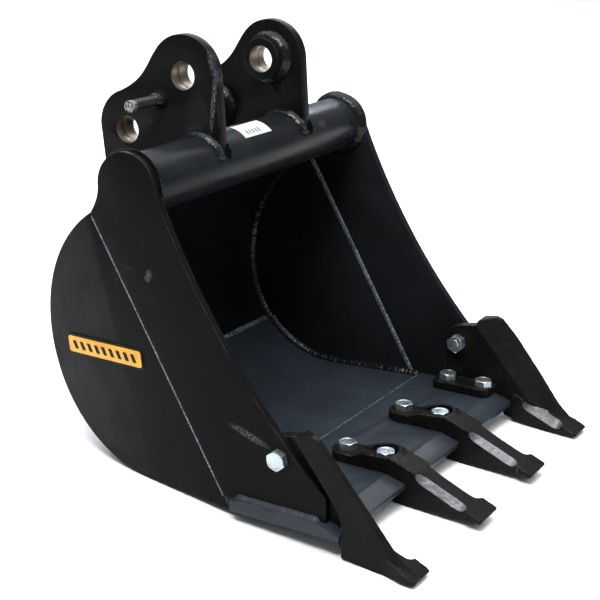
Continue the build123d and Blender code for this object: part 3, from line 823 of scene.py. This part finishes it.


# the painted chamfer highlight material for each kind of tooth
chamferHighlights = {"centre": chamferSheenCast, "corner": cornerSheenCast}
for side, sign in (("left", -1), ("right", 1)):
    for kind in ("centre", "corner"):
        node = f"{side}_{kind}_tooth"
        piece = copyNode(node, f"{side}{kind.title()}Tooth")
        applyModifier(piece, "REMESH", mode="VOXEL", voxel_size=toothLook["voxel"] / 1000)
        applyModifier(piece, "SMOOTH", factor=0.5, iterations=toothLook["softening"])
        # the normals are read before any point moves
        normals = [vertex.normal.copy() for vertex in piece.data.vertices]
        start, end, inFace, outFace = toothEdges[kind]
        run = Vector(end) - Vector(start)
        below = Vector((-run.y, run.x)).normalized()
        wearAndSheenMarks = set()
        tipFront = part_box(node)[0][1]
        tipRound = toothLook["tipRound"]
        for vertex, normal in zip(piece.data.vertices, normals):
            x, u, v = toBucket(vertex.co)
            offset = Vector((u, v)) - Vector(start)
            along = offset.dot(run) / run.length_squared
            depth = offset.dot(below)
            width = abs(x)
            moved = Vector((0, 0, 0))
            toFace = min(abs(inFace - width), abs(outFace - width))
            inGroove = -0.05 < along < 1.08 and 3 < depth < 11 and 0.3 < toFace < 2.8
            if inGroove and abs(normal.x) > 0.3:
                # the frame's narrow groove is filled before the chamfer is cut
                filled = toFace if outFace - width < width - inFace else -toFace
                moved.x += sign * filled
                width += filled
            if 0 < along < 1 and -2 < depth < 12:
                # a long chamfer with rounded ends, on one side or on both
                reach = toothLook["chamfer"][kind] * math.sqrt(1 - (2 * along - 1) ** 8)
                for face, facing in ((inFace, -1), (outFace, 1)):
                    inward = abs(face - width)
                    if kind == "corner" and facing == 1:
                        continue
                    cut = reach - inward - depth
                    if cut > 0 and inward < 16:
                        wearAndSheenMarks.add(vertex.index)
                        moved.x -= sign * facing * cut / 2
                        moved += lean(*(below * (cut / 2)))
            if kind == "corner" and width > toothLook["flankFace"]:
                # the nose swells out of the flank only near its tip
                swell = max(0.0, min(1.0, (toothLook["noseStart"] - u) / toothLook["noseRun"]))
                proud = width - toothLook["flankFace"]
                moved.x -= sign * proud * (1 - swell * swell * (3 - 2 * swell))
            if kind == "centre" and v > toothLook["rimFloor"]:
                # the casting's rim stands higher round one side of the front bolt
                boltX, boltU = toothLook["frontBolt"]
                fromBolt = Vector((x - sign * boltX, u - boltU))
                if fromBolt.x > 0:
                    fromRim = (fromBolt.length - toothLook["rimRadius"]) / toothLook["rimWidth"]
                    ring = math.exp(-(fromRim**2))
                    moved += lean(0, 1) * toothLook["rimRise"] * ring * min(1.0, fromBolt.x / 6)
            fromTip = tipRound - (vertex.co.y - tipFront) * 1000
            tipIn, tipOut = toothLook["tipFaces"][kind]
            fromFlank = tipRound - min(abs(width - tipIn), abs(tipOut - width))
            reached = math.hypot(fromTip, fromFlank)
            if fromTip > 0 and fromFlank > 0 and reached > tipRound:
                # the tip's upright corners are rounded
                pull = 1 - tipRound / reached
                facing = 1 if tipOut - width < width - tipIn else -1
                moved.x -= sign * facing * fromFlank * pull
                moved.y += fromTip * pull
            lump = noise.noise(vertex.co * 160) + 0.5 * noise.noise(vertex.co * 520)
            vertex.co += (moved + normal * toothLook["lump"] * lump) / 1000
        settle(piece, "tooth_casting", [castBlack, chamferHighlights[kind]], node, angle=50)
        # the up-facing chamfer faces take the painted highlight material
        for face in piece.data.polygons:
            if wearAndSheenMarks.issuperset(face.vertices) and face.normal.z > 0.25:
                face.material_index = 1
print("cast teeth softened")


# hexagon heads, shanks and nuts
def hexHead(name, axisPoint, outward, sideways, flats, height, hole=0.0):
    # a chamfered hexagon turned about outward, with a hole through it where it is a nut
    upwards = outward.cross(sideways)
    apothem = flats / 2
    disc = apothem * 0.965

    def hexRadius(turn):
        inSector = (turn % 60) - 30
        return apothem / math.cos(math.radians(inSector))

    def shaper(s, t):
        turn = 360 * s
        corner = hexRadius(turn)
        drop = (corner - disc) * 0.55
        rings = (
            (hole, 0.0),
            (disc, 0.0),
            (corner, drop if hole else 0.0),
            (corner, height - drop),
            (disc, height),
            (disc * 0.86, height - 0.02),
            (disc * 0.80, height - 0.35 if not hole else height),
            (hole, height - 0.35 if not hole else height),
        )
        radius, rise = rings[min(7, round(t * 7))]
        angle = math.radians(turn)
        offset = sideways * math.cos(angle) * radius + upwards * math.sin(angle) * radius
        return axisPoint + (offset + outward * rise) / 1000

    return gridShape(name, 72, 7, shaper)


def threadedRod(name, start, outward, sideways, radius, length, pitch, depth, dome=1.0):
    upwards = outward.cross(sideways)
    rows = max(8, round(length / pitch * 6))

    def shaper(s, t):
        turn = 2 * math.pi * s
        run = t * length
        tooth = abs(((run / pitch - s) % 1) * 2 - 1)
        cut = depth * tooth
        fromEnd = min(1.0, (1 - t) * length / dome)
        size = (radius - cut) * math.sqrt(max(0.0, 1 - (1 - fromEnd) ** 2))
        if t == 0:
            size = 0.0
        offset = (sideways * math.cos(turn) + upwards * math.sin(turn)) * size
        return start + (offset + outward * run) / 1000

    return gridShape(name, 28, rows, shaper)


boltLook = {
    "flats": 18.0,
    "head": 7.5,
    "nut": 10.5,
    "nutHole": 5.6,
    "shank": 6.0,
    "tail": 1.0,
    "pitch": 1.75,
    "depth": 0.7,
}
lipBolts = {
    "across": (-170.0, -61.0, 61.0, 170.0),
    "rows": (-172.0, -216.0),
    "seat": -370.0,
    "turns": (4, -9, 13, -3, 7, 17, -12, 2),
}
sideBolts = {"place": (-178.5, -327.5), "seat": 200.0, "under": 180.0, "turn": 20.0}


def fastener(kind, seat, under, outward, turned):
    # a head with its shank, and the nut at the far side of what they clamp
    grip = (seat - under).length * 1000
    head = hexHead(f"{kind}Head", seat, outward, turned, boltLook["flats"], boltLook["head"])
    shank = threadedRod(
        f"{kind}Shank",
        seat,
        -outward,
        turned,
        boltLook["shank"],
        grip + boltLook["nut"] + boltLook["tail"],
        boltLook["pitch"],
        boltLook["depth"],
    )
    nut = hexHead(
        f"{kind}Nut",
        under,
        -outward,
        turned,
        boltLook["flats"],
        boltLook["nut"],
        hole=boltLook["nutHole"],
    )
    return [head, shank], nut


lipUp = lean(0, 1)
lipHeads, lipNutPieces = [], []
lipPlaces = [(x, u) for x in lipBolts["across"] for u in lipBolts["rows"]]
for (x, u), turn in zip(lipPlaces, lipBolts["turns"]):
    turned = Vector((1, 0, 0))
    turned.rotate(Matrix.Rotation(math.radians(30 + turn), 3, lipUp))
    seat, under = place(x, u, lipBolts["seat"]), place(x, u, bucket["lipBottom"])
    bolt, nut = fastener("lip", seat, under, lipUp, turned)
    lipHeads += bolt
    lipNutPieces.append(nut)
settle(joinAll(lipHeads, "lipBolts"), "zinc_fastener", [zincPlate], "lip_bolts", angle=28)
settle(joinAll(lipNutPieces, "lipNuts"), "zinc_fastener", [zincPlate], "lip_nuts", angle=28)

sideHeads, sideNutPieces = [], []
sideTurn = math.radians(sideBolts["turn"])
for side in (-1, 1):
    seat = place(side * sideBolts["seat"], *sideBolts["place"])
    under = place(side * sideBolts["under"], *sideBolts["place"])
    turned = lean(math.cos(sideTurn), math.sin(sideTurn))
    bolt, nut = fastener("side", seat, under, Vector((side, 0, 0)), turned)
    sideHeads += bolt
    sideNutPieces.append(nut)
settle(joinAll(sideHeads, "sideBolts"), "zinc_fastener", [zincPlate], "side_bolts", angle=28)
settle(joinAll(sideNutPieces, "sideNuts"), "zinc_fastener", [zincPlate], "side_nuts", angle=28)

studSize = {"radius": 6.0, "length": 49.0, "pitch": 1.75, "depth": 0.8}
stud = threadedRod(
    "keeperStud",
    place(-bucket["earFaces"][1], *bucket["studBase"]),
    Vector((-1, 0, 0)),
    lean(1, 0),
    studSize["radius"],
    studSize["length"],
    studSize["pitch"],
    studSize["depth"],
    dome=0.8,
)
settle(stud, "stud_steel", [studSteel], "keeper_stud", angle=28)
print("fasteners made")

# badge, its backing and the label
badgeLook = {
    "yellow": tint(228, 166, 22),
    "shade": tint(205, 140, 14),
    "dirt": tint(120, 84, 20),
    "slope": -2.9,
    "barCount": 9,
    "barStep": 10.4,
    "barHeight": 8.5,
    "barWidth": 4.6,
    "barLean": 3.2,
    "barLift": 0.62,
    "barThick": 0.7,
}
badgeGraph = Graph("badgeYellow")
mottle = badgeGraph.noise(40.0, 4.0)
worn = badgeGraph.span(mottle, 0.35, 0.7)
badgeColour = badgeGraph.blend(worn, badgeLook["yellow"], badgeLook["shade"])
dirt = badgeGraph.span(badgeGraph.noise(260.0, 5.0, 0.7), 0.6, 0.8, 0.0, 0.4)
badgeColour = badgeGraph.blend(dirt, badgeColour, badgeLook["dirt"])
badgeRough = badgeGraph.span(badgeGraph.noise(60.0), 0.3, 0.7, 0.28, 0.42)
badgeNormal = badgeGraph.bump(badgeGraph.noise(700.0, 3.0), 0.00008)
badgeYellow = badgeGraph.finish(badgeColour, badgeRough, badgeNormal, **{"Specular IOR Level": 0.5})

for node, name, material, slotName, rounding in (
    ("badge_backing", "badgeBacking", badgeBlack, "badge_backing", 0.4),
    ("badge_plate", "badgePlate", badgeYellow, "badge_face", 0.45),
):
    piece = copyNode(node, name)
    breakEdges(piece, rounding, segments=3)
    settle(piece, slotName, [material], node)

# plain slanting bars stand on the badge instead of lettering
badgeTurn = math.radians(badgeLook["slope"])
badgeRun = lean(math.cos(badgeTurn), math.sin(badgeTurn))
badgeLow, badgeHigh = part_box("badge_plate")
badgeMiddle = (badgeLow + badgeHigh) / 2
taperSlope = math.tan(math.radians(bucket["taper"]))
leanOut = lean(*foldOut)
runSlope = taperSlope * badgeRun.dot(leanOut)
badgeAcross = Vector((runSlope, badgeRun.y, badgeRun.z)).normalized()
badgeFace = Vector((-1, leanOut.y * taperSlope, leanOut.z * taperSlope)).normalized()
badgeUp = badgeFace.cross(badgeAcross)
if badgeUp.z < 0:
    badgeUp = -badgeUp
bars = []
for count in range(badgeLook["barCount"]):
    clearSelection()
    bpy.ops.mesh.primitive_cube_add(size=1)
    bar = bpy.context.object
    bpy.ops.object.mode_set(mode="EDIT")
    bpy.ops.mesh.select_all(action="SELECT")
    bpy.ops.mesh.bevel(offset=0.12, segments=2, affect="EDGES")
    bpy.ops.object.mode_set(mode="OBJECT")
    along = (count - (badgeLook["barCount"] - 1) / 2) * badgeLook["barStep"]
    for vertex in bar.data.vertices:
        x, y, z = vertex.co
        run = along + x * badgeLook["barWidth"] + y * badgeLook["barLean"]
        rise = y * badgeLook["barHeight"]
        out = badgeLook["barLift"] + z * badgeLook["barThick"]
        vertex.co = badgeMiddle + (badgeAcross * run + badgeUp * rise + badgeFace * out) / 1000
    bpy.ops.object.mode_set(mode="EDIT")
    bpy.ops.mesh.normals_make_consistent(inside=False)
    bpy.ops.object.mode_set(mode="OBJECT")
    bars.append(bar)
settle(joinAll(bars, "badgeBars"), "badge_backing", [badgeBlack], angle=30)

labelLook = {
    "paper": tint(204, 206, 207),
    "shade": tint(188, 191, 192),
    "print": tint(60, 63, 66),
    "bars": 9,
    "start": 92.0,
    "wrap": 43.0,
    "left": -30.0,
    "width": 48.0,
    "lift": 0.28,
    "edgeDrop": 0.26,
}
labelGraph = Graph("labelPaper")
labelPlace = labelGraph.tree.nodes["Texture Coordinate"].outputs["UV"]
parts = labelGraph.add("ShaderNodeSeparateXYZ", {"Vector": labelPlace}).outputs
ticks = labelGraph.maths("FRACT", labelGraph.maths("MULTIPLY", parts[1], labelLook["bars"]), 0.0)
inked = labelGraph.span(ticks, 0.42, 0.5)
for low, high, axis in ((0.10, 0.12, 1), (0.72, 0.70, 1), (0.58, 0.60, 0), (0.86, 0.84, 0)):
    inked = labelGraph.maths("MULTIPLY", inked, labelGraph.span(parts[axis], low, high))
fibre = labelGraph.noise(900.0, 3.0)
paper = labelGraph.blend(labelGraph.span(fibre, 0.3, 0.8), labelLook["paper"], labelLook["shade"])
labelColour = labelGraph.blend(labelGraph.maths("MULTIPLY", inked, 0.85), paper, labelLook["print"])
labelPaper = labelGraph.finish(
    labelColour, labelGraph.span(fibre, 0.2, 0.8, 0.4, 0.6), labelGraph.bump(fibre, 0.00003)
)


def labelShaper(s, t):
    # laid round the tube, with its rim pressed down
    around = math.radians(labelLook["start"] + labelLook["wrap"] * s)
    atRim = min(s, t) < 0.01 or max(s, t) > 0.99
    reach = bucket["tubeRadius"] + labelLook["lift"] - (labelLook["edgeDrop"] if atRim else 0)
    u, v = reach * math.cos(around), reach * math.sin(around)
    x = labelLook["left"] + labelLook["width"] * t
    return place(x, bucket["tube"][0] + u, bucket["tube"][1] + v)


label = gridShape("tubeLabel", 40, 24, labelShaper)
applyModifier(label, "SOLIDIFY", thickness=0.00012, offset=-1)
settle(label, "paper_label", [labelPaper], "tube_label", angle=60)
print("badge and label made")

# floor, light and camera
floorLook = {"size": 16.0, "colour": tint(244, 244, 244), "shade": tint(240, 240, 241)}
floorGraph = Graph("paleFloor")
floorNoise = floorGraph.noise(3.0, 3.0)
floorColour = floorGraph.blend(floorNoise, floorLook["colour"], floorLook["shade"])
floorRough = floorGraph.span(floorNoise, 0.3, 0.7, 0.8, 0.9)
floorNormal = floorGraph.bump(floorGraph.noise(60.0), 0.0001)
paleFloor = floorGraph.finish(floorColour, floorRough, floorNormal, **{"Specular IOR Level": 0.1})
clearSelection()
bpy.ops.mesh.primitive_plane_add(size=floorLook["size"], location=(0, 0, cadLow.z))
floor = bpy.context.object
floor.name = "studioFloor"
bpy.ops.object.transform_apply(location=True, rotation=True, scale=True)
floor.data.materials.append(paleFloor)
floor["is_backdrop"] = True

lightLook = {
    "overhead": 0.55,
    "horizon": 0.16,
    "ceiling": 330.0,
    "key": 42.0,
    "front": 8.0,
    "rim": 46.0,
}
world = bpy.data.worlds.new("studioAir")
scene.world = world
world.use_nodes = True
sky = world.node_tree
direction = sky.nodes.new("ShaderNodeTexCoord").outputs["Generated"]
split = sky.nodes.new("ShaderNodeSeparateXYZ")
sky.links.new(direction, split.inputs[0])
climb = sky.nodes.new("ShaderNodeMapRange")
climb.inputs["From Min"].default_value = 0.1
climb.inputs["From Max"].default_value = 0.9
climb.inputs["To Min"].default_value = lightLook["horizon"]
climb.inputs["To Max"].default_value = lightLook["overhead"]
sky.links.new(split.outputs[2], climb.inputs["Value"])
sky.links.new(climb.outputs[0], sky.nodes["Background"].inputs["Strength"])
sky.nodes["Background"].inputs["Color"].default_value = (0.95, 0.975, 1.0, 1.0)


def softbox(name, place, target, size, power, colour=(1, 1, 1)):
    clearSelection()
    bpy.ops.object.light_add(type="AREA", location=place)
    lamp = bpy.context.object
    lamp.name = name
    lamp.data.shape = "RECTANGLE"
    lamp.data.size = size[0]
    lamp.data.size_y = size[1]
    lamp.data.energy = power
    lamp.data.color = colour
    aim = Vector(target) - Vector(place)
    lamp.rotation_euler = aim.to_track_quat("-Z", "Y").to_euler()


softbox("ceilingBox", (0.4, 0.3, 3.6), (0, 0, -0.4), (6.0, 6.0), lightLook["ceiling"])
softbox("keyBox", (-1.25, -0.3, 2.0), (0, -0.1, -0.3), (1.0, 0.5), lightLook["key"])
softbox("frontBox", (-0.6, -2.4, 1.6), (0, 0, -0.2), (1.0, 0.5), lightLook["front"])
softbox("rimBox", (2.6, 1.5, 1.3), (0, -0.1, -0.3), (2.2, 0.7), lightLook["rim"], (0.82, 0.91, 1.0))

cameraLook = {
    "place": (-1.17507, -0.80490, 0.26231),
    "right": (0.5307, -0.84554, 0.05764),
    "up": (0.261, 0.2283, 0.93765),
    "forward": (0.8063, 0.48277, -0.34183),
    "lens": 82.1,
}
clearSelection()
bpy.ops.object.camera_add(location=cameraLook["place"])
camera = bpy.context.object
right, up, forward = (Vector(cameraLook[key]) for key in ("right", "up", "forward"))
camera.rotation_euler = Matrix((right, up, -forward)).transposed().to_euler()
camera.data.lens = cameraLook["lens"]
camera.data.sensor_width = 36.0
camera.data.clip_start = 0.05
scene.camera = camera
scene.view_settings.view_transform = "Standard"
print("stage set")

low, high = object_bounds()
